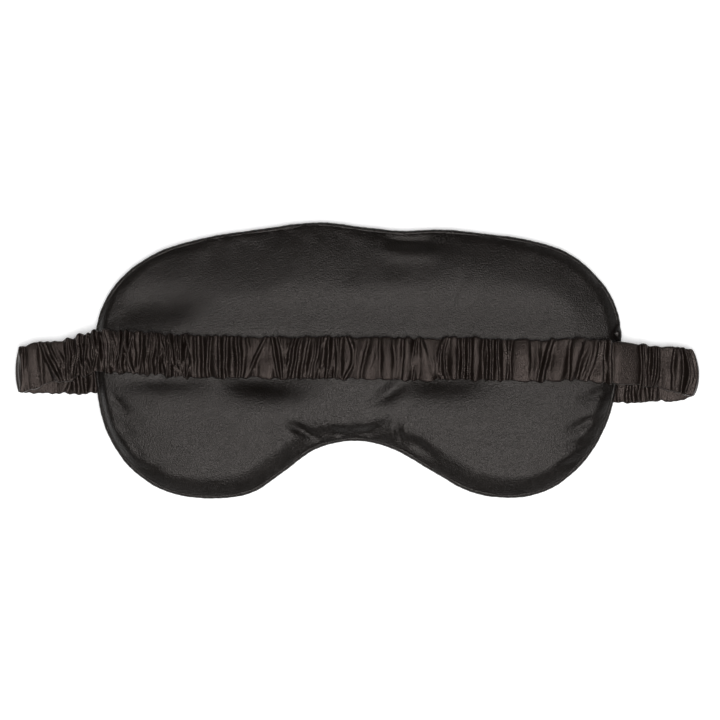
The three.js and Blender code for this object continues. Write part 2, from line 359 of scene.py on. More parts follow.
def pad_triangles():
    """(plan points, triangles, number of rim points) of one panel."""
    step = OUTLINE_COUNT // PAD_RIM_POINTS
    rim = (OUTLINE + INWARD * PAD_RIM_INSET)[::step]
    wall = (OUTLINE + INWARD * WALL_INSET)[::step]
    low, high = rim.min(axis=0), rim.max(axis=0)
    rows = np.arange(low[1], high[1], PAD_GRAIN * PAD_ROW_SHARE)
    lattice = []
    for k, y in enumerate(rows):
        xs = np.arange(low[0] + (k % 2) * PAD_GRAIN / 2, high[0], PAD_GRAIN)
        lattice.append(np.stack([xs, np.full_like(xs, y)], axis=1))
    lattice = np.concatenate(lattice)
    gap, near = inset_of(lattice)
    inside = ((lattice - OUTLINE[near]) * INWARD[near]).sum(axis=1) > 0
    lattice = lattice[inside & (gap > WALL_INSET + 0.7 * PAD_GRAIN)]
    count = len(rim)
    edges = [(i, (i + 1) % count) for i in range(count)]
    edges += [(count + i, count + (i + 1) % count) for i in range(count)]
    points = [Vector(p) for p in np.concatenate([rim, wall, lattice]).tolist()]
    out, _, faces, _, _, _ = delaunay_2d_cdt(points, edges, [], 1, 1e-7)
    return np.array([tuple(p) for p in out]), faces, count


def make_pad():
    """Both satin panels over the wadding, as one closed body."""
    plan, faces, rim_count = pad_triangles()
    inset, near = inset_of(plan)
    inset[:rim_count] = PAD_RIM_INSET
    inset[rim_count : 2 * rim_count] = WALL_INSET
    x, y = plan[:, 0], plan[:, 1]
    top = np.column_stack([plan, face_height(x, y, near, inset)])
    low = np.column_stack([plan, under_height(x, y, inset)])
    count = len(plan)
    under = {i: (i if i < rim_count else i + count - rim_count) for i in range(count)}
    top[:rim_count, 2] = PAD_RIM_Z
    points = np.concatenate([top, low[rim_count:]])
    both = [tuple(f) for f in faces]
    both += [tuple(under[i] for i in reversed(f)) for f in faces]
    uvs = np.concatenate([plan, plan[rim_count:] + UNDER_UV_SHIFT]) / MM_PER_UV
    return make_mesh("mask_pad", points, both, uvs)


# ---- piping ----------------------------------------------------------------


def tube_faces(rings, around, closed):
    """Quads of a tube of rings, each with around points."""
    faces = []
    for i in range(rings if closed else rings - 1):
        j = (i + 1) % rings
        for k in range(around):
            m = (k + 1) % around
            faces.append((i * around + k, i * around + m, j * around + m, j * around + k))
    return faces


PIPING_AROUND = 14  # points round the piping
PIPING_STEP = 0.6  # length of piping from one outline point to the next, roughly
# the piping is bunched up just above the right end of the strap
BUNCH_Y = 11.5
BUNCH_WIDTH = 3.0
BUNCH_RUCK = 2.6  # half the length of the bunch's own waves
BUNCH_SWELL = 0.75  # how much thicker, as a share of the radius
BUNCH_RUCK_SWELL = 0.12
BUNCH_LIFT = 1.9
BUNCH_INSET = 0.9


def make_piping():
    """A narrow roll of satin along the seam, slightly uneven."""
    around = PIPING_AROUND
    length = np.arange(OUTLINE_COUNT) * PIPING_STEP
    radius = PIPING_RADIUS * (1 + 0.03 * np.sin(length * 2 * math.pi / 3.1))
    radius = radius * (1 + 0.06 * ripples(length, 0 * length, 9, 11))
    lift = PIPING_Z + 0.12 * ripples(length, 0 * length, 24, 12)
    x, y = OUTLINE[:, 0], OUTLINE[:, 1]
    bunch = np.where(x > 0, np.exp(-(((y - BUNCH_Y) / BUNCH_WIDTH) ** 2)), 0)
    ruck = np.where(x > 0, np.cos((y - BUNCH_Y) * math.pi / BUNCH_RUCK), 0) * bunch
    radius = radius * (1 + BUNCH_SWELL * bunch + BUNCH_RUCK_SWELL * ruck)
    lift = lift + BUNCH_LIFT * bunch
    angle = np.arange(around) * 2 * math.pi / around
    inset = PIPING_RADIUS + (BUNCH_INSET * bunch)[:, None]
    inset = inset + radius[:, None] * np.cos(angle)[None, :]
    z = lift[:, None] + radius[:, None] * np.sin(angle)[None, :]
    xy = OUTLINE[:, None, :] + INWARD[:, None, :] * inset[:, :, None]
    points = np.concatenate([xy, z[:, :, None]], axis=2).reshape(-1, 3)
    u = np.repeat(length / MM_PER_UV, around)
    v = np.tile(angle * PIPING_RADIUS / MM_PER_UV, OUTLINE_COUNT)
    faces = tube_faces(OUTLINE_COUNT, around, True)
    return make_mesh("edge_piping_roll", points, faces, np.stack([u, v], axis=1))


# ---- strap -----------------------------------------------------------------

# Place along the strap: the distance from the middle of the mask on the upper
# layer, and on past the fold round to the seam. Left is negative.
BEND_X = 140.5  # the strap's bend at each fold starts here
BEND_RADIUS = 2.0
BEND_END = BEND_X + math.pi * BEND_RADIUS
LOWER_Z = 2.0
UPPER_Z = LOWER_Z + 2 * BEND_RADIUS
ROOT_X = 106.5  # the strap ends here, inside the seam
ROOT = BEND_END + BEND_X - ROOT_X
# the strap is cut into a root, a fold and a band at these two places
SIDE_SPLIT = BEND_END + BEND_X - 126.0
OUTER_SPLIT = 106.3


def on_lower(x):
    """Place along the strap of distance x from the middle, on the lower layer."""
    return BEND_END + BEND_X - x


# Middle line of the strap: distance from the middle, Y and Z.
UPPER_LEFT = [
    (0, 0.9, 12.5), (40, 1.2, 12.5), (71, 1.9, 12.5), (90, 3.0, 12.4), (103, 3.9, 11.3),
    (112, 3.4, 9.0), (122, 0.3, 6.7), (133, -1.5, 6), (140.5, -3.6, 6),
]
UPPER_RIGHT = [
    (0, 0.9, 12.5), (40, 0.6, 12.5), (71, 0.2, 12.5), (90, 0, 12.4), (103, -0.5, 11.3),
    (112, -1.2, 9.0), (122, -2.2, 6.7), (133, -3.9, 6), (140.5, -5.2, 6),
]
LOWER_Y = {-1: (-4.2, -4.8), 1: (-6.8, -8.9)}  # at the fold and at the seam
SEAM_RISE = 0.75  # the lower layer climbs this much into the seam
SLOPE_STEP = 0.5  # spacing of the samples that the strap's slope is taken from
SLOPE_PLACES = np.arange(0, 140, SLOPE_STEP)


TABLE_SAMPLES = 700


def smooth_table(table, x, column):
    """A smooth curve through a table's column, evaluated at x."""
    table = np.array(table, float)
    fine = np.linspace(0, table[-1, 0], TABLE_SAMPLES)
    value = np.interp(fine, table[:, 0], table[:, column])
    spare = SMOOTH_SPAN - 1
    padded = np.pad(value, spare, mode="reflect", reflect_type="odd")
    return np.interp(x, fine, np.convolve(padded, smoothing_window(), "same")[spare:-spare])


def strap_path(place):
    """(x, y, z, angle) of the middle line; angle 0 faces up, 180 down."""
    side = np.where(place < 0, -1.0, 1.0)
    far = np.abs(place)
    upper = np.minimum(far, BEND_X)
    left, right = (smooth_table(table, upper, 1) for table in (UPPER_LEFT, UPPER_RIGHT))
    y = np.where(place < 0, left, right)
    z = smooth_table(UPPER_LEFT, upper, 2)
    turn = np.clip((far - BEND_X) / BEND_RADIUS, 0, math.pi)
    x = np.where(far < BEND_X, far, BEND_X + BEND_RADIUS * np.sin(turn))
    x = np.where(far > BEND_END, BEND_X - (far - BEND_END), x)
    bend = UPPER_Z - BEND_RADIUS * (1 - np.cos(turn))
    z = np.where(far > BEND_X, bend, z)
    down = smoothstep(BEND_X, BEND_END, far)
    along_lower = np.clip((far - BEND_END) / (on_lower(SEAM_X) - BEND_END), 0, 1.2)
    fold_y = np.where(place < 0, LOWER_Y[-1][0], LOWER_Y[1][0])
    seam_y = np.where(place < 0, LOWER_Y[-1][1], LOWER_Y[1][1])
    y = y * (1 - down) + down * (fold_y + along_lower * (seam_y - fold_y))
    z = z + SEAM_RISE * smoothstep(on_lower(116), on_lower(109), far)
    rise = np.gradient(smooth_table(UPPER_LEFT, SLOPE_PLACES, 2), SLOPE_STEP)
    slope = -np.arctan(np.interp(upper, SLOPE_PLACES, rise))
    slope = np.where(far > BEND_X, 0, slope)
    return side * x, y, z, side * (turn + slope)


def fold_row(start, end, count, wide, high, lean, seed, share=0.0):
    """count random folds between two places; share of them fade half way."""
    rng = np.random.default_rng(seed)
    step = (end - start) / count
    rows = []
    for i in range(count):
        at = start + (i + 0.5 + rng.uniform(-0.25, 0.25)) * step
        tilt = rng.normal(0, lean)
        fade = 0
        if rng.uniform() < share:
            fade = 1 if rng.uniform() < 0.5 else -1
        size = wide * rng.uniform(0.8, 1.35)
        rows.append((at + tilt, at - tilt, size, high * rng.uniform(0.6, 1.15), fade))
    return rows


# Folds of the gathered cover: place at its +Y edge, place at its -Y edge,
# width, height, and 1 or -1 where the fold dies out towards +Y or -Y.
UPPER_FOLDS = [
    # left fold and the stretch beside it
    (-143.4, -143.0, 1.3, 0.6, 0), (-141.9, -141.5, 1.3, 0.7, 0), (-140.6, -140.1, 1.2, 0.6, 0),
    (-137.2, -135.6, 5.4, 0.65, 0), (-133.8, -125.4, 2.2, 1.1, 0), (-130.6, -122.9, 1.7, 0.9, 0),
    (-127.6, -120.6, 2.6, 0.8, -1), (-124.6, -123.0, 1.7, 0.7, 1),
    (-122.6, -122.0, 1.5, 1.2, 0), (-121.0, -120.6, 1.3, 0.9, 0),
    # medium rolls, a flat triangle, and folds that meet at the lower edge
    (-69.5, -68.8, 2.6, 1.2, 0), (-66.4, -66.0, 3.0, 1.1, 0), (-63.0, -63.3, 2.3, 1.2, 0),
    (-59.9, -59.4, 3.4, 1.0, 0), (-56.2, -56.6, 2.7, 1.1, 0), (-52.8, -52.4, 3.5, 1.0, 0),
    (-49.6, -49.8, 1.8, 1.1, 0), (-44.6, -46.6, 5.0, 0.7, 1), (-38.6, -46.6, 2.0, 1.0, 0),
    (-37.0, -38.6, 8.0, 0.7, 1), (-35.8, -32.3, 1.9, 1.2, 0), (-33.2, -31.2, 1.7, 1.0, 0),
    (-30.2, -30.8, 3.0, 0.8, -1), (-27.0, -30.4, 2.0, 1.1, 0), (-24.4, -27.6, 2.1, 1.0, 0),
    (-22.0, -24.6, 2.4, 1.1, 0), (-19.2, -21.6, 2.3, 1.0, 0), (-16.4, -18.8, 2.0, 1.2, 0),
    (-14.2, -16.2, 1.5, 1.0, 0), (-12.0, -13.4, 1.9, 1.1, 0), (-10.2, -11.0, 1.4, 0.9, 1),
]

# Broader panels and recesses: place at the +Y edge, place at the -Y edge, width,
# height, bow at the middle, how much wider at +Y, and tilt along the strap.
PANELS = [
    (-8.9, -8.9, 1.6, 1.2, 0.3, 0, 0.2), (-6.3, -6.9, 2.3, 1.25, -0.6, 0, -0.2),
    (-4.0, -5.7, 2.3, 1.1, 2.6, 0, 0.2), (1.0, -1.5, 5.0, 0.6, 0, 0.2, 0.9),
    (6.1, 3.1, 3.8, 1.0, 0.2, 0, 0.25), (8.2, 6.9, 4.0, 0.6, 0, -0.6, -0.9),
    (11.8, 11.8, 5.4, 1.15, 0, 0, 0.05), (16.2, 15.8, 3.2, 0.5, 0, 0.3, 0.9),
    (20.8, 20.0, 4.2, 0.95, 0.3, 0, -0.25), (25.0, 23.3, 1.6, 1.3, -0.5, 0, 0.1),
    (26.4, 28.8, 4.4, 1.05, 0, -0.7, 0.2), (30.4, 32.4, 4.0, 0.5, 0, 0.6, -0.8),
    (35.9, 34.7, 1.8, 1.2, -2.2, 0, 0.2), (37.2, 36.9, 1.4, 1.2, -1.6, 0, -0.2),
    (39.7, 39.5, 3.7, 1.15, -0.3, 0, 0.1), (43.0, 42.6, 1.7, 0.95, 0.2, 0, 0.4),
    (45.4, 45.2, 1.9, 1.15, 0.4, 0, -0.3), (49.2, 48.6, 4.2, 1.1, 0.2, 0.25, -0.2),
    (53.6, 53.6, 1.8, 1.15, 0.2, 0, 0.3), (56.4, 56.6, 1.8, 1.1, -0.4, 0, -0.2),
    (58.8, 59.4, 1.6, 1.3, -0.6, 0, 0), (62.9, 61.8, 1.0, 0.6, 0.4, 0, 0),
    (68.0, 67.6, 7.4, 0.9, 0, -0.1, 0.5), (73.8, 73.2, 3.8, 0.6, 0, -0.2, 0.9),
    (80.9, 76.3, 3.0, 1.3, -0.6, 0, -0.1),
    (85.7, 82.0, 6.4, 0.8, 0, 0, 0.45), (92.6, 88.6, 4.4, 1.2, 0, 0.6, -0.1),
    (96.8, 92.0, 3.0, 0.5, 0, 0, 0.9), (99.0, 95.0, 3.0, 0.95, 0.4, 0, 0.2),
    (101.5, 99.2, 4.2, 0.8, 0, -0.4, 0.6), (104.1, 104.4, 2.5, 1.25, 0.3, 0, -0.1),
    (112.2, 112.0, 11.6, 0.85, 0, 0, -0.35), (119.0, 119.2, 1.5, 1.1, 0, 0, 0.3),
    (120.6, 120.7, 1.4, 0.95, 0.3, 0, -0.3), (124.2, 122.2, 1.5, 1.2, 0.2, 0, 0),
    (125.7, 123.9, 1.5, 1.15, 0.9, 0, 0), (128.6, 127.8, 4.8, 0.8, 0, 0.2, 0.6),
    (131.6, 130.2, 2.3, 1.05, -0.5, -0.2, 0.2), (134.4, 133.8, 3.4, 0.85, 0, 0, -0.4),
    (137.1, 137.5, 2.1, 1.45, 0.6, 0, 0), (139.3, 139.4, 2.0, 0.8, 0.4, 0, 0.2),
    (141.2, 141.2, 2.0, 0.6, 0.3, 0, 0),
]

# Deep gaps between folds: place at the +Y edge, place at the -Y edge, width, depth.
GAPS = [
    (-122.9, -119.4, 1.6, 0.9), (-116.2, -114.6, 1.8, 1.1), (-107.6, -105.8, 1.4, 1.2),
    (-98.8, -100.2, 1.3, 1.2), (-90.4, -91.2, 1.6, 1.1), (-84.4, -83.2, 1.3, 1.2),
    (-77.4, -76.0, 1.6, 1.3), (-72.2, -73.4, 1.6, 1.1), (-64.8, -64.9, 1.2, 0.9),
    (-58.0, -57.6, 1.7, 1.2), (-50.8, -50.6, 1.3, 1.1), (-34.4, -31.8, 1.2, 1.0),
    (-25.6, -29.0, 1.2, 1.1), (-14.4, -16.4, 1.8, 1.3), (-10.6, -10.6, 1.4, 1.1),
    (24.2, 22.3, 1.1, 1.1), (34.3, 33.6, 1.5, 1.1), (41.9, 41.7, 1.2, 1.1), (44.3, 44.0, 1.0, 0.9),
    (46.8, 46.6, 1.1, 0.9), (51.9, 51.7, 1.2, 1.2), (55.0, 55.2, 1.4, 1.2), (57.6, 58.2, 1.0, 1.1),
    (60.9, 61.0, 2.4, 1.5), (64.0, 62.8, 1.4, 1.2), (78.6, 74.6, 1.4, 0.8), (94.9, 90.7, 1.5, 0.9),
    (102.6, 102.6, 1.2, 0.9), (118.2, 118.3, 1.4, 1.2), (121.7, 121.5, 1.4, 1.2),
    (124.9, 123.2, 1.0, 1.0), (136.0, 136.2, 1.1, 0.9),
]


def all_folds():
    """Every fold of the strap's outer side, listed and random."""
    folds = list(UPPER_FOLDS)
    folds += fold_row(-119.8, -110.2, 6, 1.9, 1.3, 0.7, 21, 0.2)
    folds += fold_row(-110.4, -93.6, 12, 1.6, 1.3, 0.9, 22, 0.3)
    folds += fold_row(-93.6, -89.8, 1, 3.8, 0.85, 0.3, 23)
    folds += fold_row(-89.8, -70.6, 13, 1.6, 1.3, 1.0, 24, 0.3)
    # small creases of the gathering between and over the larger folds
    folds += fold_row(-122, -72, 22, 1.1, 1.0, 1.5, 27, 0.9)
    folds += fold_row(-70, 137, 14, 1.6, 0.4, 1.2, 28, 1.0)
    for side, seed in ((-1, 31), (1, 32)):
        for row in fold_row(on_lower(138), on_lower(SEAM_X), 15, 2.2, 0.9, 0.5, seed, 0.2):
            folds.append((side * row[0], side * row[1]) + row[2:])
    return folds


def inner_folds():
    """Folds of the side that lies against the mask."""
    folds = fold_row(-136, 136, 130, 2.4, 0.5, 0.7, 41, 0.25)
    for side, low, high, count, seed in ((-1, 109, 127, 12, 42), (1, 106, 127, 12, 43)):
        for row in fold_row(on_lower(high), on_lower(low), count, 1.7, 1.4, 0.8, seed, 0.15):
            folds.append((side * row[0], side * row[1]) + row[2:])
    return folds


def full_rows(folds, seed):
    """Folds with a random bow, taper and tilt of their own."""
    rng = np.random.default_rng(seed)
    rows = []
    for top, bottom, wide, high, fade in folds:
        bow, taper, tilt = rng.normal(0, 0.55), rng.uniform(-0.35, 0.35), rng.uniform(-0.55, 0.55)
        rows.append((top, bottom, wide, high, fade, bow, taper, tilt))
    return rows


def panel_rows():
    """The listed panels in the same form, none of them fading."""
    return [panel[:4] + (0,) + panel[4:] for panel in PANELS]


GATHER = 3.4  # length of the small slanting gathers under the folds
GATHER_DEPTH = 0.42
FOLD_SPREAD = 1.12  # the folds are drawn this much wider and higher than listed
FOLD_GAIN = 1.25
FOLD_DIP = 0.22  # how much a fold's height varies along it


def fold_height(place, across, rows, seed):
    """Height that the folds add at a place along and a share across the strap."""
    rng = np.random.default_rng(seed)
    dense = smoothstep(68, 74, -place) * (1 - smoothstep(118, 124, -place))
    wobble = (0.30 + 0.30 * dense) * ripples(place * 0.3, across * 4, 3.6, seed)
    slant = place / GATHER + 0.45 * ripples(place, across * 1.5, 9, seed + 1)
    height = GATHER_DEPTH * np.arcsin(np.sin(2 * math.pi * slant)) * 2 / math.pi
    for top, bottom, wide, high, fade, bow, taper, tilt in rows:
        dip = rng.uniform(-1, 1)
        lo = min(top, bottom) - wide - 1.5 - abs(bow)
        hi = max(top, bottom) + wide + 1.5 + abs(bow)
        near = (place[:, 0] > lo) & (place[:, 0] < hi)
        if not near.any():
            continue
        at, share, shake = place[near], across[near], wobble[near]
        middle = bottom + (top - bottom) * (share + 1) / 2 + bow * (1 - share**2)
        half = wide / 2 * FOLD_SPREAD * (1 + taper * share)
        reach = np.clip((at + shake - middle) / half, -1, 1)
        flat = 1.8 + 2.0 * smoothstep(2.5, 7, wide)
        shape = (1 - np.abs(reach) ** flat) ** 0.8 * (1 + tilt * reach)
        shape = shape * (1 - FOLD_DIP * np.cos(math.pi * (share - dip)))
        if fade:
            shape = shape * smoothstep(-0.75, 0.45, -fade * share + 0.4 * dip)
        raised = (high * FOLD_GAIN + GATHER_DEPTH) * shape - GATHER_DEPTH
        height[near] = np.maximum(height[near], raised)
    return height


def gap_depth(place, across):
    """How far the gaps cut into the folds."""
    depth = np.zeros_like(place)
    for top, bottom, wide, deep in GAPS:
        middle = bottom + (top - bottom) * (across + 1) / 2
        reach = np.abs(place - middle + 0.3 * np.sin(3 * across + top)) / (wide / 2)
        depth = np.maximum(depth, deep * np.clip(1.2 - reach, 0, 1))
    return depth


RING_STEP = 0.36
FINE_STEP = 0.22  # where the folds are fine, on the left
BEND_STEP = 0.26
LEAST_STEP = 0.05


def places_along(start, end):
    """Places of the strap's rings: closer together where the folds are fine."""
    places = [start]
    while places[-1] < end - LEAST_STEP:
        at = abs(places[-1])
        step = RING_STEP
        if 70 < at < 120 and places[-1] < 0:
            step = FINE_STEP
        if BEND_X - 0.5 < at < BEND_END + 0.5:
            step = BEND_STEP
        places.append(min(end, places[-1] + step))
    return np.array(places)


ACROSS_STEPS = 32  # points across each side of the strap
EDGE_STEPS = 7  # points round each edge
FLAT_SHARE = 0.962  # the edge is rounded beyond this share of the half-width


def section():
    """One ring of the flat tube: (share across, 1 outside to -1 inside)."""
    across, out = [], []
    for way in (1.0, -1.0):
        for i in range(ACROSS_STEPS):
            across.append(way * (2 * FLAT_SHARE * i / (ACROSS_STEPS - 1) - FLAT_SHARE))
            out.append(way)
        for i in range(1, EDGE_STEPS + 1):
            angle = math.pi * i / (EDGE_STEPS + 1)
            across.append(way * (FLAT_SHARE + (1 - FLAT_SHARE) * math.sin(angle)))
            out.append(way * math.cos(angle))
    return np.array(across), np.array(out)


def smooth_along(values, times):
    """Round off values a little from ring to ring."""
    for _ in range(times):
        near = np.concatenate([values[:1], values, values[-1:]])
        values = 0.25 * near[:-2] + 0.5 * near[1:-1] + 0.25 * near[2:]
    return values


HALF_THICK = 0.95  # half the tube's thickness along its middle
EDGE_THINNER = 0.5
DEEPEST_GAP = -0.7
FOLD_WIDER = 1.1  # the strap spreads this much each way at the fold
LEFT_BOW, RIGHT_BOW = 0.5, 2.4  # the fold bows inwards at its corners
# the two layers keep clear of each other beside the fold, and of the table
LOWER_TOP = 3.68
UPPER_BOTTOM = 4.32
LOWEST_Z = 0.08


def strap_points(places):
    """Points of the strap's rings at those places, ring by ring."""
    across, out = section()
    place = places[:, None] + 0 * across[None, :]
    share = across[None, :] + 0 * place
    side = out[None, :] + 0 * place
    outer_rows = full_rows(all_folds(), 54) + panel_rows()
    lift_out = fold_height(place, share, outer_rows, 51) - gap_depth(place, share)
    lift_out = smooth_along(np.maximum(lift_out, DEEPEST_GAP), 1)
    lift_in = smooth_along(fold_height(place, share, full_rows(inner_folds(), 55), 52), 2)
    edge_out = smooth_along(fold_height(place, np.sign(share), outer_rows, 51), 6)
    far = np.abs(place)
    # on the lower layer the outer side lies on the table, and in the bend the
    # inner side has no room for folds
    lower = smoothstep(BEND_X + 2, BEND_END, far)
    lift_out = lift_out * (1 - 0.7 * lower)
    in_bend = smoothstep(134, 138, far) * (1 - smoothstep(on_lower(130), on_lower(126), far))
    lift_in = lift_in * (1 - in_bend)
    lift = np.where(side >= 0, lift_out, lift_in)
    root = smoothstep(on_lower(116), on_lower(110), far)
    half_thick = (HALF_THICK - EDGE_THINNER * np.abs(share) ** 4) * (1 - 0.5 * root)
    lift = lift * (1 - 0.4 * root)
    narrower = 1 - 0.5 * smoothstep(on_lower(134), on_lower(126), far)
    wider = FOLD_WIDER * smoothstep(126, 137, far) * narrower
    half_width = STRAP_HALF_WIDTH - 0.25 + wider
    half_width = half_width + 0.95 * (edge_out - 0.6) * np.abs(share) ** 3
    x, y, z, angle = strap_path(places)
    offset = side * (half_thick + lift)
    lean = 0.30 * np.sin(places / 5.1 + 0.6 * np.sin(places / 13.0))
    rolled = lift * np.clip(side, 0, 1) * lean[:, None]
    px = x[:, None] + offset * np.sin(angle)[:, None] + rolled * np.cos(angle)[:, None]
    pz = z[:, None] + offset * np.cos(angle)[:, None]
    sway = 0.25 * ripples(places, 0 * places, 34, 53)
    py = y[:, None] + sway[:, None] + share * half_width
    bow = np.where(place > 0, RIGHT_BOW, LEFT_BOW) * smoothstep(132, 144, np.abs(px))
    px = px - np.sign(px) * bow * share**2
    room = LOWER_TOP + 1.0 * smoothstep(on_lower(126), on_lower(121), far)
    pz = np.where(far > BEND_END, np.minimum(pz, room), pz)
    pz = np.where((far < BEND_X) & (far > 118), np.maximum(pz, UPPER_BOTTOM), pz)
    pz = np.maximum(pz, LOWEST_Z)
    return np.stack([px, py, pz], axis=2)


def whole_strap():
    """(places, rings) of the strap from seam to seam."""
    stops = [-ROOT, -SIDE_SPLIT, -OUTER_SPLIT, 0, OUTER_SPLIT, SIDE_SPLIT, ROOT]
    parts = [places_along(a, b)[:-1] for a, b in zip(stops, stops[1:])]
    places = np.concatenate(parts + [[ROOT]])
    return places, strap_points(places)


PLACES, RINGS = whole_strap()
TONGUE_REACH = 1.7
CLOTH_PER_PLACE = 1.5  # the gathered cloth's weave is this much denser along it


def strap_piece(name, start, end, tongue=0):
    """(closed length of the strap, its rings). tongue adds a round end at the middle."""
    rows = (PLACES > start - 1e-6) & (PLACES < end + 1e-6)
    places, rings = PLACES[rows], RINGS[rows]
    body = rings
    if tongue:
        last = rings[-1] if tongue > 0 else rings[0]
        middle = last.mean(axis=0)
        turn = np.linspace(0.25, 1.45, 6)[:, None, None]
        small = middle + (last - middle) * np.array([1, 0.9, 1]) * np.cos(turn) * 0.94
        small = small + np.array([tongue * TONGUE_REACH, 0, 0]) * np.sin(turn)
        reach = places[-1 if tongue > 0 else 0] + tongue * TONGUE_REACH * np.sin(turn[:, 0, 0])
        if tongue > 0:
            rings, places = np.concatenate([rings, small]), np.append(places, reach)
        else:
            rings, places = np.concatenate([small[::-1], rings]), np.append(reach[::-1], places)
    count, around = rings.shape[:2]
    points = rings.reshape(-1, 3)
    faces = tube_faces(count, around, False)
    points = np.concatenate([points, rings[[0, -1]].mean(axis=1)])
    last = (count - 1) * around
    for k in range(around):
        m = (k + 1) % around
        faces.append((k, count * around, m))
        faces.append((last + k, last + m, count * around + 1))
    across, out = section()
    girth = np.where(out >= 0, across, 2.2 - across) * STRAP_HALF_WIDTH
    u = np.repeat(places * CLOTH_PER_PLACE / MM_PER_UV, around)
    v = np.tile(girth / MM_PER_UV, count)
    u = np.append(u, places[[0, -1]] * CLOTH_PER_PLACE / MM_PER_UV)
    v = np.append(v, [0, 0])
    faces = [tuple(reversed(f)) for f in faces]
    return make_mesh(name, points, faces, np.stack([u, v], axis=1)), body


def stretch(side, near, far):
    """A length of one half of the strap as places, lower one first."""
    return (near, far) if side > 0 else (-far, -near)


def make_strap(side):
    """The three lengths of one half of the strap: root, fold and band."""
    name = "left" if side < 0 else "right"
    ends = stretch(side, SIDE_SPLIT, ROOT)
    root, root_rings = strap_piece(f"{name}_strap_root", *ends)
    ends = stretch(side, OUTER_SPLIT, SIDE_SPLIT)
    fold, fold_rings = strap_piece(f"{name}_strap_fold", *ends)
    ends = stretch(side, 0, OUTER_SPLIT)
    band, band_rings = strap_piece(f"{name}_strap_band", *ends, tongue=-side)
    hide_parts(f"{name}_side_cover", f"{name}_side_elastic", f"{name}_strap_tab")
    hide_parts(f"{name}_outer_cover", f"{name}_outer_elastic")
    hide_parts(f"{name}_inner_cover", f"{name}_inner_elastic")
    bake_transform(root)
    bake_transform(fold)
    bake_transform(band)
    for obj, rings in ((root, root_rings), (fold, fold_rings), (band, band_rings)):
        obj.data.materials.append(STRAP_SATIN)


# ---- materials -------------------------------------------------------------


def node(tree, kind, **values):
    """A shader node with its properties and inputs set."""
    made = tree.nodes.new(kind)
    for key, value in values.items():
        if key.startswith("in_"):
            made.inputs[key[3:].replace("_", " ")].default_value = value
        else:
            setattr(made, key, value)
    return made


def ramp(tree, stops):
    """A colour ramp with stops of (place, colour)."""
    made = tree.nodes.new("ShaderNodeValToRGB")
    elements = made.color_ramp.elements
    while len(elements) < len(stops):
        elements.new(0.5)
    for element, (at, colour) in zip(elements, stops):
        element.position = at
        element.color = (*colour, 1)
    return made


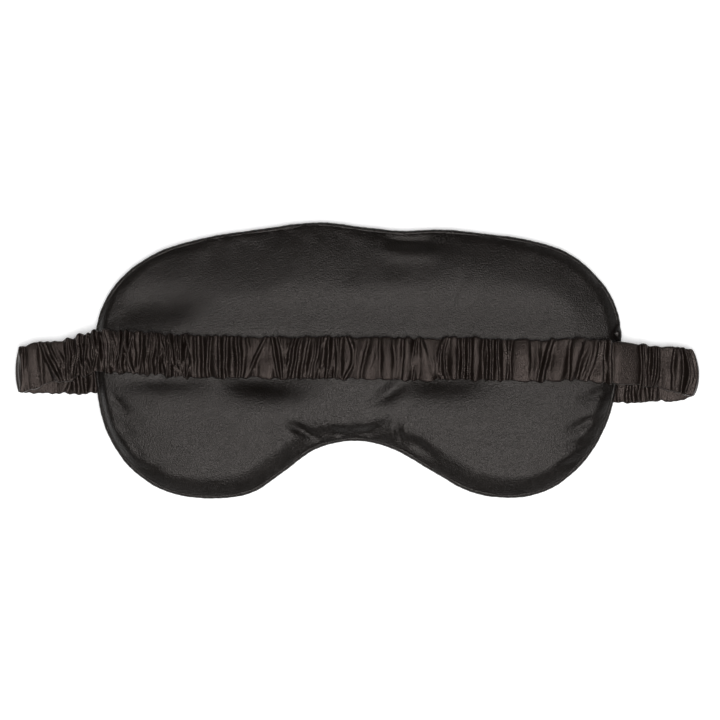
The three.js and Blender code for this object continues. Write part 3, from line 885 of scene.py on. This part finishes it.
def satin(name, dark, light, roughness, crinkle, specular, warmth):
    """Woven satin: long floats, fine crinkles and a soft uneven gloss.

    The UV map is in centimetres of cloth."""
    material = bpy.data.materials.new(name)
    material.use_nodes = True
    tree = material.node_tree
    link = tree.links.new
    shader = tree.nodes["Principled BSDF"]
    shader.inputs["Specular IOR Level"].default_value = specular
    shader.inputs["Specular Tint"].default_value = (*warmth, 1)
    shader.inputs["Anisotropic"].default_value = 0.3
    shader.inputs["Sheen Weight"].default_value = 0.02
    shader.inputs["Sheen Roughness"].default_value = 0.35
    shader.inputs["Sheen Tint"].default_value = (0.9, 0.84, 0.8, 1)
    cloth = node(tree, "ShaderNodeUVMap", uv_map="UVMap")
    # long floats of the weave, about 0.2 mm across and 1.5 mm long
    stretch = node(tree, "ShaderNodeMapping", in_Scale=(7, 48, 1))
    link(cloth.outputs["UV"], stretch.inputs["Vector"])
    floats = node(tree, "ShaderNodeTexNoise", in_Scale=1.0, in_Detail=2.0, in_Roughness=0.6)
    link(stretch.outputs["Vector"], floats.inputs["Vector"])
    # twill lines that cross them
    twill = node(
        tree, "ShaderNodeTexWave", bands_direction="DIAGONAL", in_Scale=16.0, in_Distortion=1.2
    )
    link(cloth.outputs["UV"], twill.inputs["Vector"])
    folds = node(tree, "ShaderNodeTexNoise", in_Scale=crinkle, in_Detail=3.0, in_Roughness=0.55)
    link(cloth.outputs["UV"], folds.inputs["Vector"])
    # colour: mottled a little at random, and paler on the tops of the floats as a painted
    # highlight on the weave
    cloudy = node(tree, "ShaderNodeTexNoise", in_Scale=0.7, in_Detail=4.0, in_Roughness=0.6)
    link(cloth.outputs["UV"], cloudy.inputs["Vector"])
    tint = ramp(tree, [(0.3, dark), (0.7, light)])
    mottle_and_float_highlight = node(tree, "ShaderNodeMath", operation="MULTIPLY_ADD")
    mottle_and_float_highlight.inputs[1].default_value = 0.35
    link(floats.outputs["Fac"], mottle_and_float_highlight.inputs[0])
    scaled = node(tree, "ShaderNodeMath", operation="MULTIPLY")
    scaled.inputs[1].default_value = 0.65
    link(cloudy.outputs["Fac"], scaled.inputs[0])
    link(scaled.outputs[0], mottle_and_float_highlight.inputs[2])
    link(mottle_and_float_highlight.outputs[0], tint.inputs["Fac"])
    link(tint.outputs["Color"], shader.inputs["Base Color"])
    gloss = node(tree, "ShaderNodeMapRange")
    gloss.inputs["To Min"].default_value = roughness - 0.05
    gloss.inputs["To Max"].default_value = roughness + 0.07
    link(cloudy.outputs["Fac"], gloss.inputs["Value"])
    link(gloss.outputs["Result"], shader.inputs["Roughness"])
    weave = node(tree, "ShaderNodeBump", in_Strength=0.6, in_Distance=0.00008)
    link(floats.outputs["Fac"], weave.inputs["Height"])
    lines = node(tree, "ShaderNodeBump", in_Strength=0.25, in_Distance=0.00004)
    link(twill.outputs["Fac"], lines.inputs["Height"])
    link(weave.outputs["Normal"], lines.inputs["Normal"])
    # slubs in the yarn, which make the gloss sparkle
    slubs = node(tree, "ShaderNodeTexNoise", in_Scale=15.0, in_Detail=2.0, in_Roughness=0.7)
    link(cloth.outputs["UV"], slubs.inputs["Vector"])
    grain = node(tree, "ShaderNodeBump", in_Strength=1.0, in_Distance=0.00028)
    link(slubs.outputs["Fac"], grain.inputs["Height"])
    link(lines.outputs["Normal"], grain.inputs["Normal"])
    soft = node(tree, "ShaderNodeBump", in_Strength=0.35, in_Distance=0.00035)
    link(folds.outputs["Fac"], soft.inputs["Height"])
    link(grain.outputs["Normal"], soft.inputs["Normal"])
    link(soft.outputs["Normal"], shader.inputs["Normal"])
    return material


def fibrous(name, dark, light, size, roughness):
    """Matt thread, wadding or lining: a fine fibre noise in colour and bump."""
    material = bpy.data.materials.new(name)
    material.use_nodes = True
    tree = material.node_tree
    shader = tree.nodes["Principled BSDF"]
    shader.inputs["Roughness"].default_value = roughness
    place = node(tree, "ShaderNodeTexCoord")
    noise = node(tree, "ShaderNodeTexNoise", in_Scale=size, in_Detail=5.0, in_Roughness=0.65)
    tree.links.new(place.outputs["Object"], noise.inputs["Vector"])
    tint = ramp(tree, [(0.35, dark), (0.65, light)])
    tree.links.new(noise.outputs["Fac"], tint.inputs["Fac"])
    tree.links.new(tint.outputs["Color"], shader.inputs["Base Color"])
    bump = node(tree, "ShaderNodeBump", in_Strength=0.5, in_Distance=0.0002)
    tree.links.new(noise.outputs["Fac"], bump.inputs["Height"])
    tree.links.new(bump.outputs["Normal"], shader.inputs["Normal"])
    return material


def floor_material():
    """Pale, slightly lit studio paper."""
    material = bpy.data.materials.new("studio_paper")
    material.use_nodes = True
    shader = material.node_tree.nodes["Principled BSDF"]
    shader.inputs["Base Color"].default_value = (0.9, 0.9, 0.9, 1)
    shader.inputs["Roughness"].default_value = 0.9
    shader.inputs["Specular IOR Level"].default_value = 0.1
    shader.inputs["Emission Color"].default_value = (1, 1, 1, 1)
    shader.inputs["Emission Strength"].default_value = 0.34
    return material


PANEL_SATIN = satin(
    "panel_satin",
    dark=(0.0030, 0.0023, 0.0019),
    light=(0.0065, 0.0051, 0.0043),
    roughness=0.285,
    crinkle=2.2,
    specular=0.30,
    warmth=(1, 0.935, 0.90),
)
STRAP_SATIN = satin(
    "strap_satin",
    dark=(0.0032, 0.0020, 0.0015),
    light=(0.0068, 0.0045, 0.0035),
    roughness=0.28,
    crinkle=3.0,
    specular=0.44,
    warmth=(1, 0.82, 0.75),
)


def dress_inner_nodes():
    """Better materials for the CAD nodes that stay, all inside the pad."""
    liner = fibrous("liner", (0.006, 0.006, 0.006), (0.016, 0.015, 0.015), 3000, 0.9)
    cotton = fibrous("cord_cotton", (0.42, 0.39, 0.33), (0.62, 0.59, 0.52), 2200, 0.85)
    thread = fibrous("thread", (0.014, 0.011, 0.010), (0.03, 0.025, 0.022), 4000, 0.7)
    looks = {
        "blackout_liner": liner,
        "piping_cord": cotton,
        "seam_thread": thread,
        "left_bar_tack": thread,
        "right_bar_tack": thread,
    }
    for name, material in looks.items():
        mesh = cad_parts[name].data
        mesh.materials.clear()
        mesh.materials.append(material)


# ---- studio ----------------------------------------------------------------

VIEW_WIDTH = 0.3024  # width of the picture in metres, at VIEW_Z
VIEW_Z = 5.0  # in mm, as above; the rest of the studio is in metres
CAMERA_HEIGHT = 1.25
VIEW_X, VIEW_Y = 0.0006, 0.0002
SENSOR_WIDTH = 36
FLOOR_SIZE = 6
FLOOR_Z = -0.0003  # just under the mask, so that the two don't share a plane


def softbox(name, place, size, power):
    """A rectangular light that faces the middle of the mask."""
    light = bpy.data.lights.new(name, "AREA")
    light.shape = "RECTANGLE"
    light.size, light.size_y = size
    light.energy = power
    lamp = bpy.data.objects.new(name, light)
    bpy.context.scene.collection.objects.link(lamp)
    lamp.location = place
    way = Vector((0, 0, 0)) - Vector(place)
    lamp.rotation_euler = way.to_track_quat("-Z", "Y").to_euler()


def make_studio():
    """Pale floor, two soft lights over the mask, and a camera straight above."""
    bpy.ops.mesh.primitive_plane_add(size=FLOOR_SIZE, location=(0, 0, FLOOR_Z))
    floor = bpy.context.object
    floor.name = "studio_floor"
    floor.data.materials.append(floor_material())

    softbox("key_light", (0.08, -0.34, 1.5), (1.0, 0.9), 22)
    softbox("top_light", (0.0, 0.05, 2.0), (1.0, 1.0), 6)
    world = bpy.data.worlds.new("studio_world")
    bpy.context.scene.world = world
    world.use_nodes = True
    back = world.node_tree.nodes["Background"]
    back.inputs["Color"].default_value = (1, 1, 1, 1)
    back.inputs["Strength"].default_value = 0.10

    lens = bpy.data.cameras.new("camera")
    lens.sensor_width = SENSOR_WIDTH
    lens.lens = SENSOR_WIDTH * (CAMERA_HEIGHT - VIEW_Z * MM) / VIEW_WIDTH
    lens.clip_end = 20
    camera = bpy.data.objects.new("camera", lens)
    camera.location = (VIEW_X, VIEW_Y, CAMERA_HEIGHT)
    bpy.context.scene.collection.objects.link(camera)
    bpy.context.scene.camera = camera
    bpy.context.scene.view_settings.view_transform = "Standard"


# ---- assembly --------------------------------------------------------------

make_studio()
dress_inner_nodes()

pad = make_pad()
pad.data.materials.append(PANEL_SATIN)
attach(pad, "mask")
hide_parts("face_panel", "outer_panel", "padding")

piping = make_piping()
piping.data.materials.append(PANEL_SATIN)
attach(piping, "mask")
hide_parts("edge_piping")

for side in (-1, 1):
    make_strap(side)
